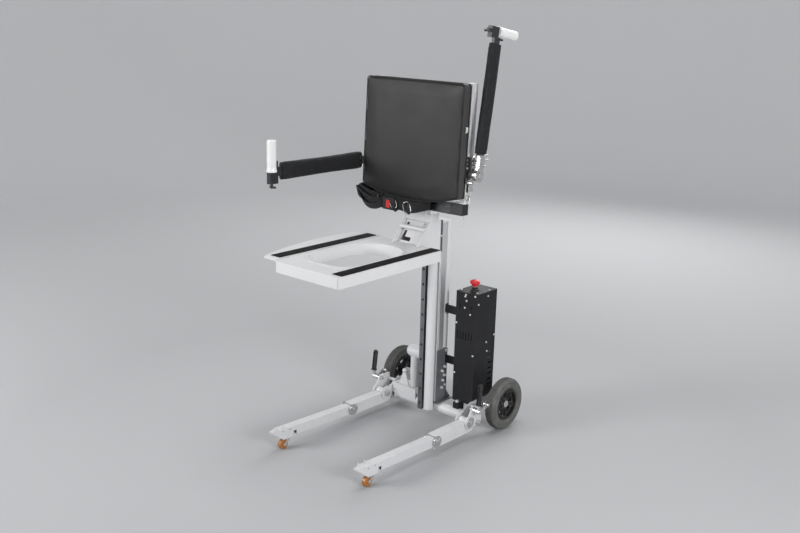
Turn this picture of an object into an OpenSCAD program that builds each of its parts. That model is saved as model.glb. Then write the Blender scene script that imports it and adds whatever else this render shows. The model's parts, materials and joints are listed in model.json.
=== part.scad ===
// Sit to stand lift: a short wheeled base with folding legs, a lifting mast, a carriage that
// carries a hygienic seat and a padded backrest, and two swinging arms with handles.
// X runs across the machine, -Y is its front and +Z is up. Most modules place their shapes
// in a working frame whose origin is on the floor just ahead of the rear axle (see from_datum).

/* [Base and wheels] */
// Radius of the two rear wheels
wheel_r = 100; // [90:1:110]
// Width of a rear tyre
tyre_w = 43; // [36:1:44]
// Distance from the middle to the centre of a rear tyre
wheel_x = 259; // [259:0.5:262]
// Distance from the middle to the centre of a leg
leg_x = 208; // [206:0.5:210]
// Distance from the datum forward to the leg tips
leg_reach = 750; // [730:1:760]
// Diameter of the round cross beam
beam_d = 41; // [36:1:44]

/* [Mast] */
// Height of the top of the mast
mast_top = 792; // [780:1:800]
// Width of the mast extrusion
mast_w = 76; // [72:1:80]
// Depth of the mast extrusion
mast_d = 58; // [54:1:62]
// Diameter of the round guide column
column_d = 36; // [32:1:38]

/* [Seat] */
// Height of the top of the seat at the upper end of its travel
seat_top = 730; // [720:1:740]
// Width of the seat panel
seat_w = 298; // [290:1:304]
// Depth of the seat's folded skirt
seat_skirt = 40; // [34:1:44]
// Distance from the datum to the front of the seat
seat_front = 772.5; // [765:0.5:780]

/* [Backrest and arms] */
// Width of the backrest pad
pad_w = 446; // [430:1:450]
// Height of the backrest pad, from its lower corners to its top
pad_h = 392; // [380:1:400]
// Thickness of the backrest pad
pad_t = 42; // [36:1:46]
// Backwards lean of the backrest in degrees
back_lean = 2.6; // [0:0.1:4]
// Distance from the middle to the centre of an arm
arm_x = 253; // [251:0.5:256]
// Distance from an arm's pivot to its handle
arm_len = 486; // [470:1:490]
// Angle through which the right arm is raised
arm_raised = 98.6; // [90:0.1:100]

/* [Power box] */
// Width of the battery and motor box
box_w = 94; // [88:1:96]
// Depth of the battery and motor box
box_d = 128; // [120:1:130]
// Height of the top of the battery and motor box
box_top = 539; // [500:1:545]

/* [Hidden] */
$fn = 48;

// The model's origin lies half way between the seat's front edge and the back of the wheels
axle_back = 22;
datum_y = (seat_front - wheel_r - axle_back) / 2;

// Running clearance of shafts in their bores
run_gap = 0.05;

// Beam
beam_r = beam_d / 2;
beam_y = -100;
beam_z = 58;
beam_bend_r = 45;
beam_bend_x = 148;
beam_wall = 3;

// Side brackets: an inner and an outer plate either side of each leg
plate_in_x = 184;
plate_t = 3.5;
leg_w = 42;
plate_out_x = leg_x + leg_w / 2 + 1;
plate_in_w = leg_x - leg_w / 2 - 1 - plate_in_x;
axle_r = 8;
axle_end = 271;

// Legs, in a frame whose origin is on the rear pivot
pivot_y = -156;
pivot_z = 68;
pivot_r = 8;
rear_slope = 0.8;
front_slope = 2.3;
leg_top = 2;
leg_h_rear = 43;
leg_h_front = 33;
leg_bottom = leg_top - leg_h_rear;
front_bottom = -36;
leg_wall = 2.5;
leg_joint = 206;
leg_step = 192;
hinge_y = -188;
hinge_z = -18;
hinge_r = 6;
disc_r = 22;
leg_tip = leg_reach + pivot_y;
nose_len = 62;
caster_y = -511;
boss_bottom = -42;
caster_r = 19;
caster_trail = 21;

// Mast
mast_front = -122;
mast_back = mast_front + mast_d;
mast_base = beam_z + beam_r + 6;
rail_w = 20;
rail_d = 18;
rail_x = -24;
rail_z0 = 42;
rail_pitch = 60;
column_r = column_d / 2;
column_x = 20;
column_z0 = 56;
slot_x0 = -13;
slot_x1 = 1;
spindle_x = -6;
spindle_y = -91;
spindle_r = 8;
foot_plate_t = 6;
foot_top = 292;

// Carriage
carr_front = -215;
carr_back = -168;
carr_half = 58;
carr_top = 812;
sheet = 3;

// Seat
seat_rear = -256;
seat_half = seat_w / 2;
seat_bottom = seat_top - seat_skirt;
seat_corner_r = 5;
seam_in = 3.5;
opening_x = -15;
opening_r = 115;
opening_rear = -340;
opening_front = -690;
strip_t = 2;
flap_axis_x = -(seat_half + 6);
flap_axis_z = seat_top - 2.5;
knuckle_r = 3.5;
flap_pin_r = 1.6;
flap_edge_x = -280.5;
flap_t = 8;
flap_edge_r = 900;

// Backrest, in a frame on the lower edge of the pad's front face
back_y = -274;
back_z = 925;
pad_sag = 32;
board_t = 5;
rail_y0 = pad_t + 4 + board_t;
upright_x = 205;
upright_w = 22;
upright_d = 32;

// Arms, in a frame on the pivot
arm_pivot_y = -205;
arm_pivot_z = 1005;
arm_bar_t = 12;
arm_bar_h = 30;
sleeve_t = 24;
sleeve_h = 68;
sleeve_start = 71;
sleeve_end = 449;
handle_r = 16;
handle_h = 112;

// Power box
box_x0 = 96;
box_y0 = -89;
box_z0 = 102;
box_wall = 2;
box_step_x = 182;
box_step_z = 123;

// Brake levers
brake_x = 262;
brake_y = -138;
brake_z = 114;

// ---------- helpers ----------
module from_datum() translate([0, datum_y, 0]) children();

module mirrored(side) mirror([side < 0 ? 1 : 0, 0, 0]) children();

// A cylinder along +X that starts at x0
module xcyl(r, x0, x1) translate([x0, 0, 0]) rotate([0, 90, 0]) cylinder(r = r, h = x1 - x0);

// A cylinder along +Y that starts at y0
module ycyl(r, y0, y1) translate([0, y0, 0]) rotate([-90, 0, 0]) cylinder(r = r, h = y1 - y0);

// A rectangle with round corners, centred
module round_rect(w, h, r) {
    square([w - 2 * r, h], center = true);
    square([w, h - 2 * r], center = true);
    for (x = [-1, 1], y = [-1, 1])
        translate([x * (w / 2 - r), y * (h / 2 - r)]) circle(r = r);
}

// Extrudes a Y-Z outline along X from x0 to x1
module slab_x(x0, x1) translate([x0, 0, 0]) rotate([90, 0, 90]) linear_extrude(x1 - x0) children();

// Extrudes an X-Z outline along Y from y0 to y1
module slab_y(y0, y1) translate([0, y1, 0]) rotate([90, 0, 0]) linear_extrude(y1 - y0) children();

// A plain block between two corners
module block(a, b) translate(a) cube(b - a);

// A hexagon-headed bolt head along +X
module hex_x(r, x0, x1) translate([x0, 0, 0]) rotate([0, 90, 0]) cylinder(r = r, h = x1 - x0, $fn = 6);

// ---------- base ----------
module beam_half(side) mirrored(side) {
    difference() {
        union() {
            xcyl(beam_r, 0, beam_bend_x);
            translate([beam_bend_x, -beam_bend_r, 0])
                rotate_extrude(angle = -45, start = 90) translate([beam_bend_r, 0]) circle(r = beam_r);
        }
        xcyl(beam_r - beam_wall, -1, beam_bend_x);
        translate([beam_bend_x, -beam_bend_r, 0])
            rotate_extrude(angle = -45, start = 90)
                translate([beam_bend_r, 0]) circle(r = beam_r - beam_wall);
        block([plate_in_x, -200, -50], [400, 200, 50]);
    }
}

module cross_beam() color("gainsboro") from_datum() {
    translate([0, beam_y, beam_z]) {
        beam_half(1);
        beam_half(-1);
    }
    // folded bracket along the top of the left half, with a slot near its outer end
    difference() {
        union() {
            block([-plate_in_x, -120, 101], [-62, -60, 104]);
            block([-plate_in_x, -121, 63], [-62, -118, 104]);
        }
        translate([-162, -108, 90]) linear_extrude(30) round_rect(26, 9, 4);
    }
    // gusset with a ball knob, standing on the bracket
    slab_y(-112, -108) polygon([[-156, 103], [-104, 103], [-125, 160], [-135, 160]]);
    translate([-130, -110, 164]) sphere(r = 9);
    // rib under the right half
    block([60, -82, 40], [plate_in_x, -79, 62]);
}

module bracket_plate() {
    translate([pivot_y, pivot_z]) circle(r = 27);
    polygon([
        [pivot_y - 4, pivot_z - 26], [-40, 52], [-40, 100], [-82, 116], [-98, 114], [-176, 70]
    ]);
}

module side_bracket(side) color("whitesmoke") from_datum() mirrored(side) difference() {
    union() {
        slab_x(plate_in_x, plate_in_x + plate_in_w) {
            bracket_plate();
            polygon([[-90, 42], [axle_back + 8, 82], [axle_back + 8, 118], [-90, 114]]);
            translate([axle_back, 100]) circle(r = 20);
        }
        slab_x(plate_out_x, plate_out_x + plate_t) {
            difference() {
                bracket_plate();
                translate([-84, 0]) square([60, 140]);
            }
            translate([brake_y, brake_z]) circle(r = 11);
            translate([-92, 118]) circle(r = 8);
            polygon([[-168, 88], [brake_y - 10, brake_z + 5], [brake_y, brake_z + 11], [-92, 126],
                [-84, 100]]);
        }
        // spacer tubes between the two plates, and the axle boss
        translate([0, -92, 100]) xcyl(7, plate_in_x + 1, plate_out_x + 1);
        translate([0, -96, 60]) xcyl(6, plate_in_x + 1, plate_out_x + 1);
        translate([0, axle_back, 100]) xcyl(15, plate_in_x + 1, 233);
    }
    translate([0, pivot_y, pivot_z]) xcyl(pivot_r, 170, 260);
    translate([0, axle_back, 100]) xcyl(axle_r, 170, 260);
    translate([0, brake_y, brake_z]) xcyl(4, 210, 260);
    translate([0, knob_y, knob_z]) xcyl(4, 210, 260);
}

module axles_and_pivots() color("silver") from_datum() for (side = [-1, 1]) mirrored(side) {
    // rear axle with its collars and hub cap
    translate([0, axle_back, 100]) {
        xcyl(axle_r, plate_in_x - 1.5, axle_end - 4);
        xcyl(12, plate_in_x - 1.5, plate_in_x);
        xcyl(12, 233, 238.5);
        xcyl(13, wheel_x + 4.5, axle_end);
    }
    // leg pivot with a ringed disc and a hexagon head
    face = plate_out_x + plate_t;
    translate([0, pivot_y, pivot_z]) {
        xcyl(pivot_r, plate_in_x - 6, face + 6);
        hex_x(13, plate_in_x - 12, plate_in_x);
        difference() {
            xcyl(21, face, face + 4);
            difference() {
                xcyl(17, face + 3, face + 5);
                xcyl(14, face + 2, face + 6);
            }
        }
        hex_x(10, face + 4, face + 10);
    }
    // bolts of the plates
    translate([0, -92, 118]) {
        xcyl(6, face, face + 2);
        hex_x(5, face + 2, face + 7);
    }
    translate([0, -60, 44]) hex_x(5, plate_in_x - 5, plate_in_x);
}

// ---------- wheels ----------
module tyre(side) color("dimgray") from_datum() mirrored(side)
    translate([wheel_x, axle_back, wheel_r]) rotate([0, 90, 0]) rotate_extrude($fn = 96)
        difference() {
            translate([80, 0]) round_rect(2 * (wheel_r - 80), tyre_w, 15);
            for (z = [-13.5, -8, -2.7, 2.7, 8, 13.5]) {
                edge = wheel_r + 0.6 - pow(abs(z), 2.4) / 240;
                translate([edge, z]) circle(r = 2, $fn = 16);
            }
            for (r = [69, 86], s = [-1, 1])
                translate([r, s * (tyre_w / 2 + 0.4)]) circle(r = 1.8, $fn = 16);
        }

module wheel_hub(side) color("#1c1c1e") from_datum() mirrored(side)
    translate([wheel_x, axle_back, wheel_r]) rotate([0, 90, 0]) difference() {
        union() {
            rotate_extrude($fn = 96) {
                translate([52, -17]) square([8, 34]);
                translate([axle_r + run_gap, -20]) square([12, 24]);
                translate([12, -3]) square([44, 6]);
            }
            for (i = [0:4]) rotate(i * 72) translate([18, -5, -11]) cube([38, 10, 22]);
        }
        for (i = [0:4]) rotate(i * 72 + 36) translate([36, 0, -10]) cylinder(r = 12, h = 20);
    }

module brake_lever(side) color("silver") from_datum() mirrored(side) {
    translate([0, brake_y, brake_z]) {
        xcyl(4 - run_gap, plate_out_x - 4, brake_x + 4);
        hex_x(7, plate_out_x - 10, plate_out_x - 2);
        xcyl(10, plate_out_x + plate_t + 1, brake_x + 5);
    }
    // arm to the shoe
    slab_x(brake_x - 5, brake_x + 1) polygon([
        [brake_y - 6, brake_z - 6], [brake_y + 6, brake_z - 8], [brake_y + 56, brake_z + 6],
        [brake_y + 48, brake_z + 20]
    ]);
    translate([0, brake_y + 51, brake_z + 13]) xcyl(6, brake_x - 16, brake_x + 6);
    // stem
    slab_x(brake_x - 3, brake_x + 3) polygon([
        [brake_y - 8, brake_z - 2], [brake_y + 6, brake_z + 4], [-140, 140], [-133, 214],
        [-139, 215], [-149, 140]
    ]);
}

module brake_grip(side) color("#161616") from_datum() mirrored(side)
    translate([brake_x, -145, 141]) rotate([-6.5, 0, 0]) difference() {
        union() {
            cylinder(r = 9.5, h = 74);
            translate([0, 0, 74]) sphere(r = 9.5);
            cylinder(r = 11.5, h = 4);
        }
        translate([-3, -20, -12]) cube([6, 40, 88]);
    }

// ---------- legs ----------
knob_y = -112;
knob_z = 56;

module leg_frame(side) from_datum() mirrored(side)
    translate([leg_x, pivot_y, pivot_z]) rotate([-rear_slope, 0, 0]) children();

// The front section tips up a little more about the hinge
module front_frame(side) leg_frame(side) translate([0, hinge_y, hinge_z])
    rotate([rear_slope - front_slope, 0, 0]) translate([0, -hinge_y, -hinge_z]) children();

module leg_rear(side) color("white") leg_frame(side) difference() {
    slab_x(-leg_w / 2, leg_w / 2) {
        translate([-leg_joint, leg_bottom]) square([leg_joint, leg_h_rear]);
        translate([0, leg_bottom + 20]) square([34, leg_h_rear - 28]);
        translate([26, leg_top - 8]) circle(r = 8);
        translate([0, leg_top - 10]) square([26, 10]);
        translate([0, leg_bottom]) square([12, 22]);
        translate([12, leg_bottom + 22]) circle(r = 22);
        circle(r = 15);
    }
    // the roof stops short of the side walls, over the front section
    block([-30, -leg_joint - 1, leg_top - 6], [30, -leg_step, leg_top + 1]);
    // open underside
    block([-leg_w / 2 + leg_wall, -leg_joint - 1, leg_bottom - 1],
          [leg_w / 2 - leg_wall, -30, leg_top - leg_wall]);
    xcyl(pivot_r + run_gap, -30, 30);
    translate([0, hinge_y, hinge_z]) xcyl(hinge_r, -30, 30);
}

module leg_hinge(side) color("gainsboro") leg_frame(side) translate([0, hinge_y, hinge_z]) {
    xcyl(hinge_r, -leg_w / 2 - 5, leg_w / 2 + 5);
    for (s = [-1, 1]) mirrored(s) {
        difference() {
            xcyl(disc_r, leg_w / 2, leg_w / 2 + 4);
            xcyl(hinge_r, 10, 40);
            difference() {
                xcyl(disc_r - 3, leg_w / 2 + 3, leg_w / 2 + 5);
                xcyl(disc_r - 6, leg_w / 2 + 2, leg_w / 2 + 6);
            }
        }
        hex_x(9, leg_w / 2 + 4, leg_w / 2 + 10);
        for (a = [-40, 40]) rotate([a, 0, 0]) translate([0, 13, 0])
            xcyl(2.6, leg_w / 2 + 3, leg_w / 2 + 7);
    }
}

front_top = front_bottom + leg_h_front;
front_half = leg_w / 2 - leg_wall - 0.5;
tube_end = -leg_tip + nose_len + 51;

module nose_plan() polygon([
    [-front_half, tube_end + 2], [-front_half, -leg_tip + 44], [-5, -leg_tip],
    [5, -leg_tip], [front_half, -leg_tip + 44], [front_half, tube_end + 2]
]);

// Where a point of the front section ends up, looking along the axle
function on_front(y, z) = let(
    hy = pivot_y + hinge_y * cos(rear_slope) + hinge_z * sin(rear_slope),
    hz = pivot_z - hinge_y * sin(rear_slope) + hinge_z * cos(rear_slope),
    dy = y - hinge_y, dz = z - hinge_z
) [hy + dy * cos(front_slope) + dz * sin(front_slope), hz - dy * sin(front_slope) + dz * cos(front_slope)];

swivel = on_front(caster_y, boss_bottom);
swivel_y = swivel[0];
swivel_z = swivel[1];

module leg_front(side) color("white") {
    difference() {
        union() {
            front_frame(side) {
                // box tube
                difference() {
                    block([-front_half, tube_end, front_bottom], [front_half, hinge_y + 8, front_top]);
                    block([-front_half + leg_wall, tube_end - 1, front_bottom + leg_wall],
                          [front_half - leg_wall, hinge_y - 16, front_top - leg_wall]);
                }
                // pointed nose: a roof, two side skirts and a solid seat for the swivel
                translate([0, 0, front_top - 3]) linear_extrude(3) nose_plan();
                intersection() {
                    translate([0, 0, boss_bottom]) linear_extrude(front_top - boss_bottom) difference() {
                        nose_plan();
                        translate([0, 5]) scale([0.84, 1]) nose_plan();
                    }
                    slab_x(-40, 40) nose_side();
                }
                intersection() {
                    block([-14, caster_y - 26, boss_bottom - 2], [14, caster_y + 14, front_top - 1]);
                    slab_x(-40, 40) nose_side();
                }
                // two upright studs
                for (y = [-leg_tip + 24, -leg_tip + 55]) translate([-8, y, front_top - 1]) {
                    cylinder(r = 2, h = 14);
                    cylinder(r = 4.5, h = 4, $fn = 6);
                }
            }
            // flat seat of the caster
            from_datum() mirrored(side) translate([leg_x, swivel_y, swivel_z])
                cylinder(r = 13, h = 12);
        }
        front_frame(side) {
            translate([0, hinge_y, hinge_z]) xcyl(hinge_r + run_gap, -30, 30);
            for (p = [[-leg_tip + 47, -9], [-leg_tip + 80, -9]]) translate([0, p[0], p[1]])
                xcyl(2.4, -30, 30);
        }
        from_datum() mirrored(side) translate([leg_x, swivel_y, swivel_z - 10]) {
            cylinder(r = 30, h = 10);
            cylinder(r = 4 + run_gap, h = 26);
        }
    }
}

module nose_side() polygon([
    [-leg_tip - 1, front_top], [-leg_tip - 1, front_top - 4], [caster_y - 30, boss_bottom - 2],
    [caster_y + 14, boss_bottom - 2], [caster_y + 16, front_bottom + 16],
    [tube_end + 2, front_bottom + 16], [tube_end + 2, front_top]
]);

module leg_knob(side) color("silver") from_datum() mirrored(side)
    translate([0, knob_y, knob_z]) {
        xcyl(4 - run_gap, plate_out_x + 0.3, plate_out_x + plate_t + 4);
        difference() {
            xcyl(10, plate_out_x + plate_t + 0.5, plate_out_x + plate_t + 14);
            for (a = [0:30:330]) rotate([a, 0, 0]) translate([0, 11, 0])
                xcyl(2, plate_out_x + plate_t + 3, plate_out_x + plate_t + 12);
        }
        xcyl(5, plate_out_x + plate_t + 13, plate_out_x + plate_t + 18);
    }

// ---------- casters, which stay upright under the sloping legs ----------
module caster_place(side) from_datum() mirrored(side) translate([leg_x, swivel_y, 0]) children();

module caster_fork(side) color("silver") caster_place(side) {
    difference() {
        union() {
            translate([0, 0, swivel_z - 6]) cylinder(r = 11, h = 5.5);
            translate([0, 0, swivel_z - 6]) cylinder(r = 4, h = 20.5);
            for (s = [-1, 1]) mirrored(s) slab_x(9.5, 12) {
                polygon([
                    [8, swivel_z - 1], [-10, swivel_z - 1], [-caster_trail - 5, caster_r - 3],
                    [-caster_trail + 5, caster_r - 5]
                ]);
                translate([-caster_trail, caster_r]) circle(r = 6);
            }
            block([-12, -7, swivel_z - 6], [12, 8, swivel_z - 1]);
        }
        translate([0, -caster_trail, caster_r]) xcyl(3, -20, 20);
    }
    translate([0, -caster_trail, caster_r]) {
        xcyl(3, -14, 14);
        xcyl(5, 12, 15);
        xcyl(5, -15, -12);
    }
}

module caster_wheel(side) color("#c8843a") caster_place(side)
    translate([0, -caster_trail, caster_r]) rotate([0, 90, 0]) rotate_extrude($fn = 64)
        difference() {
            translate([caster_r / 2, 0]) round_rect(caster_r, 17, 3.5);
            translate([-1, -10]) square([4 + run_gap, 20]);
        }

// ---------- mast ----------
module mast_extrusion() color("silver") from_datum()
    translate([0, 0, mast_base]) linear_extrude(mast_top - mast_base) difference() {
        translate([0, (mast_front + mast_back) / 2]) round_rect(mast_w, mast_d, 3);
        translate([-mast_w / 2 + 4, mast_front + 5]) square([mast_w - 8, mast_d - 9]);
        translate([slot_x0, mast_front - 1]) square([slot_x1 - slot_x0, 10]);
        for (s = [-1, 1]) {
            translate([s * mast_w / 2, mast_front + 7]) square([4, 5], center = true);
            translate([s * mast_w / 2, mast_back - 12]) square([3, 4], center = true);
        }
    }

module mast_cover() color("white") from_datum() {
    // channel that wraps the rear of the extrusion
    translate([0, 0, foot_top + 4]) linear_extrude(mast_top - 4 - foot_top) difference() {
        translate([-mast_w / 2 - 2, mast_back - 20]) square([mast_w + 4, 22]);
        translate([-mast_w / 2, mast_back - 21]) square([mast_w, 21]);
    }
    // cap plate
    translate([0, 0, mast_top]) linear_extrude(4)
        translate([0, mast_back - mast_d / 2 + 1]) square([mast_w + 4, mast_d + 2], center = true);
}

module linear_rail() color("darkgray") from_datum() difference() {
    translate([rail_x, mast_front - rail_d / 2, rail_z0]) linear_extrude(mast_top - 8 - rail_z0)
        difference() {
            square([rail_w, rail_d], center = true);
            for (s = [-1, 1]) translate([s * rail_w / 2, 0]) square([6, 6], center = true);
        }
    for (z = [rail_z0 + 25:rail_pitch:mast_top - 20]) translate([rail_x, 0, z]) {
        ycyl(5, mast_front - rail_d - 1, mast_front - rail_d + 7);
        ycyl(3, mast_front - rail_d, mast_front + 1);
    }
}

module rail_screws() color("#303030") from_datum()
    for (z = [rail_z0 + 25:rail_pitch:mast_top - 20]) translate([rail_x, 0, z]) difference() {
        union() {
            ycyl(4.4, mast_front - rail_d + 2, mast_front - rail_d + 7);
            ycyl(3, mast_front - rail_d + 2, mast_front);
        }
        translate([0, mast_front - rail_d + 1, 0]) rotate([-90, 0, 0]) cylinder(r = 2.2, h = 4, $fn = 6);
    }

module guide_column() color("white") from_datum() translate([0, 0, column_z0])
    linear_extrude(mast_top - 6 - column_z0) difference() {
        union() {
            translate([column_x, mast_front - column_r]) circle(r = column_r);
            translate([column_x - 5, mast_front - 8]) square([10, 8]);
        }
        translate([column_x, mast_front - column_r]) circle(r = column_r - 3);
    }

module mast_foot() color("gainsboro") from_datum() {
    block([-54, mast_front + 2, mast_base - foot_plate_t], [54, -36, mast_base]);
    for (s = [-1, 1]) mirrored(s)
        block([mast_w / 2, mast_front + 1, mast_base], [mast_w / 2 + 4, mast_back + 3, foot_top]);
    block([-mast_w / 2 - 4, mast_back, mast_base], [mast_w / 2 + 4, mast_back + 3, foot_top]);
    for (x = [-44, 24]) slab_x(x, x + 20) polygon([
        [mast_back + 2, mast_base - 1], [mast_back + 28, mast_base - 1], [mast_back + 2, mast_base + 34]
    ]);
}

// Bright bolt and screw heads of the mast foot, the power box and its foot
module bright_bolts() color("silver") from_datum() {
    side_x = mast_w / 2 + 4;
    for (p = [[-92, 204], [-76, 218], [-86, 164], [-72, 143], [-92, 136], [-78, 184], [-70, 283]])
        translate([0, p[0], p[1]]) {
            xcyl(6, side_x, side_x + 1.5);
            hex_x(5, side_x + 1.5, side_x + 6);
            xcyl(2.5, side_x + 6, side_x + 9);
        }
    for (p = [[-92, 210], [-74, 210], [-92, 130], [-74, 130]]) translate([0, p[0], p[1]])
        mirrored(-1) hex_x(6, side_x, side_x + 5);
    for (p = [[45, 531], [42, 524], [49, 508], [42, 480], [68, 458], [6, 415], [6, 215], [88, 532],
              [88, 300]])
        translate([box_x0 + p[0], 0, min(p[1], box_top - 6)]) ycyl(3.4, box_y0 - 2.4, box_y0);
    for (p = [[72, 340], [78, 303], [70, 522], [120, 359], [12, 500]])
        translate([0, box_y0 + p[0], p[1]]) xcyl(3.4, box_x1, box_x1 + 2.4);
    for (p = [[8, 22], [80, 22], [86, 90], [8, 110]])
        translate([box_x0 + p[0], box_y0 + p[1], box_top]) cylinder(r = 3.4, h = 2.2);
    translate([box_x0 + 30, -98, box_z0]) {
        cylinder(r = 7, h = 2);
        translate([0, 0, 2]) cylinder(r = 5.5, h = 5, $fn = 6);
    }
}

module lift_motor() color("white") from_datum() translate([-90, spindle_y, 0]) {
    // upright gear housing on the bracket, with the round motor can across its top
    translate([0, 0, 104]) cylinder(r1 = 16, r2 = 20, h = 40);
    translate([0, 0, 144]) cylinder(r = 20, h = 106);
    translate([0, 0, 250]) {
        xcyl(24, -16, 90 - mast_w / 2 - 4);
        translate([-16, 0, 0]) sphere(r = 24);
    }
}

module spindle_bearings() color("dimgray") from_datum() translate([spindle_x, spindle_y, 0])
    for (z = [[mast_base, mast_base + 14], [mast_top - 14, mast_top - 2]]) difference() {
        translate([0, 0, z[0]]) linear_extrude(z[1] - z[0]) translate([-spindle_x, 0])
            square([mast_w - 8, 34], center = true);
        translate([0, 0, z[0] - 1]) cylinder(r = spindle_r + run_gap, h = 20);
    }

module lift_spindle() color("silver") from_datum() translate([spindle_x, spindle_y, 0])
    translate([0, 0, mast_base + 0.5]) cylinder(r = spindle_r, h = mast_top - mast_base - 4);

// ---------- power box ----------
box_x1 = box_x0 + box_w;
box_y1 = box_y0 + box_d;

// The box's front outline, stepped in over the side bracket
module box_outline(inset) polygon([
    [box_x0 + inset, box_z0 + inset], [box_step_x - inset, box_z0 + inset],
    [box_step_x - inset, box_step_z + inset], [box_x1 - inset, box_step_z + inset],
    [box_x1 - inset, box_top - inset], [box_x0 + inset, box_top - inset]
]);

module power_box() color("#141416") from_datum() {
    difference() {
        slab_y(box_y0 + box_wall, box_y1) box_outline(0);
        slab_y(box_y0 - 1, box_y1 - box_wall) box_outline(box_wall);
        translate([box_x0 + 50, box_y0 + 45, box_top - 5]) cylinder(r = 8, h = 10);
        for (z = [160:22:300])
            block([box_x1 - 5, box_y0 + 86, z], [box_x1 + 5, box_y0 + 116, z + 6]);
    }
    // straps to the mast
    block([mast_w / 2 + 4, -76, 236], [box_x0, -72, 268]);
    block([mast_w / 2 + 2.1, -84, 440], [box_x0, -80, 472]);
    block([mast_w / 2 + 2.1, -84, 440], [mast_w / 2 + 5, -66, 472]);
    // foot that stands on the beam
    difference() {
        block([box_x0 + 18, -107, 70], [box_x0 + 42, -70, box_z0]);
        translate([0, beam_y, beam_z]) xcyl(beam_r, 0, 300);
    }
}

module box_cover() color("#1a1a1c") from_datum() difference() {
    slab_y(box_y0, box_y0 + box_wall) box_outline(0);
    for (i = [0:2]) block([box_x0 + 16 + 26 * i, box_y0 - 1, 468], [box_x0 + 20 + 26 * i, box_y0 + 3, 490]);
    for (i = [0:5]) block([box_x0 + 10 + 13 * i, box_y0 - 1, 352], [box_x0 + 14 + 13 * i, box_y0 + 3, 384]);
}

module battery_pack() color("#39424e") from_datum() {
    block([box_x0 + 8, box_y0 + 14, box_z0 + box_wall], [box_step_x - 8, box_y1 - 12, 250]);
    block([box_x0 + 8, box_y0 + 60, 250], [box_x1 - 8, box_y1 - box_wall, 460]);
}

stop_x = box_x0 + 50;
stop_y = box_y0 + 45;

module stop_switch_base() color("#222222") from_datum() translate([stop_x, stop_y, 0]) difference() {
    union() {
        translate([0, 0, box_top]) cylinder(r = 16, h = 6);
        translate([0, 0, box_top]) cylinder(r = 12, h = 14);
        translate([0, 0, box_top - 34]) cylinder(r = 8, h = 34);
        translate([-16, -16, box_top - 34]) cube([32, 32, 22]);
    }
    translate([0, 0, box_top - 24]) cylinder(r = 5 + run_gap, h = 40);
}

module stop_button() color("#d3202b") from_datum() translate([stop_x, stop_y, box_top]) {
    translate([0, 0, -14]) cylinder(r = 5, h = 36);
    translate([0, 0, 20]) rotate_extrude() difference() {
        union() {
            polygon([[0, 0], [12, 0], [13, 6], [19, 9], [19, 17], [0, 17]]);
            translate([0, 17]) intersection() {
                translate([0, -26]) circle(r = 32);
                square([19, 20]);
            }
        }
        translate([-30, -5]) square([30, 60]);
    }
}

// ---------- carriage ----------
module carriage_frame() color("white") from_datum() difference() {
    union() {
        // back plate and top box
        block([-carr_half, carr_back, seat_bottom - 4], [carr_half, carr_back + sheet, carr_top]);
        block([-60, carr_front, carr_top - sheet], [60, carr_back + sheet, carr_top]);
        block([-60, carr_front, carr_top - sheet], [60, carr_front + sheet, carr_top + 26]);
        block([-60, carr_front, carr_top + 23], [60, carr_back + sheet, carr_top + 26]);
        for (x = [-60, 57]) block([x, carr_front, carr_top], [x + 3, carr_back + sheet, carr_top + 26]);
        // side plates with a sloping front edge
        for (s = [-1, 1]) mirrored(s) slab_x(carr_half - sheet, carr_half) polygon([
            [-150, seat_bottom - 6], [-150, carr_top], [carr_front, carr_top], [-283, 736],
            [-283, seat_bottom - 4], [-270, seat_bottom - 6]
        ]);
        // sloping web with an L-shaped window and a small square hole
        difference() {
            slab_x(-carr_half, carr_half) polygon([
                [carr_front + 8, carr_top], [carr_front + 12, carr_top],
                [-255, 731], [-255, seat_bottom - 2], [-259, seat_bottom - 2], [-259, 731]
            ]);
            slab_y(-300, -200) polygon([
                [-48, 736], [-2, 736], [-2, 749], [-30, 749], [-30, 770], [-42, 770]
            ]);
            slab_y(-300, -200) translate([-46, 787]) square([12, 10]);
        }
        // base under the seat
        block([-carr_half, -283, seat_bottom - 4], [carr_half, carr_back, seat_bottom]);
        // round cross bar
        translate([0, -241, 786]) xcyl(8, -carr_half + 1, carr_half - 1);
        // neck up to the backrest frame
        block([-40, -216, carr_top + 25], [40, -190, 856.2]);
    }
    for (p = [[34, 800], [44, 770], [40, 744]]) translate([p[0], 0, p[1]]) ycyl(2.5, -300, -172);
}

module guide_blocks() color("#3a3a3d") from_datum() for (z0 = [686, 750]) {
    // block that rides on the linear rail
    translate([0, 0, z0]) linear_extrude(56) difference() {
        translate([-48, carr_back + sheet]) square([35.4, 40.5]);
        translate([rail_x, mast_front - rail_d / 2]) {
            square([rail_w + 0.4, rail_d + 0.4], center = true);
            translate([0, 10]) square([rail_w + 0.4, 20], center = true);
        }
    }
    // ball strips that run in the rail's grooves
    for (s = [-1, 1]) translate([rail_x + s * 9.2, mast_front - rail_d / 2, z0 + 3])
        translate([-1.4, -2, 0]) cube([2.8, 4, 50]);
    // split bush that rides on the guide column
    translate([0, 0, z0]) linear_extrude(56) difference() {
        translate([1.6, carr_back + sheet]) square([48, 38]);
        translate([column_x, mast_front - column_r]) circle(r = column_r + 0.1);
        translate([column_x - 7, mast_front - 12]) square([14, 20]);
    }
}

module spindle_nut() color("goldenrod") from_datum() difference() {
    union() {
        translate([spindle_x, spindle_y, 690]) linear_extrude(44) round_rect(36, 34, 5);
        block([spindle_x - 4, carr_back + sheet, 698], [spindle_x + 4, spindle_y - 10, 726]);
    }
    translate([spindle_x, spindle_y, 680]) cylinder(r = spindle_r + run_gap, h = 80);
}

// ---------- seat ----------
module seat_plan(inset = 0) translate([0, (seat_rear - seat_front) / 2, 0])
    round_rect(seat_w - 2 * inset, seat_front + seat_rear - 2 * inset, seat_corner_r - inset);

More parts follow.
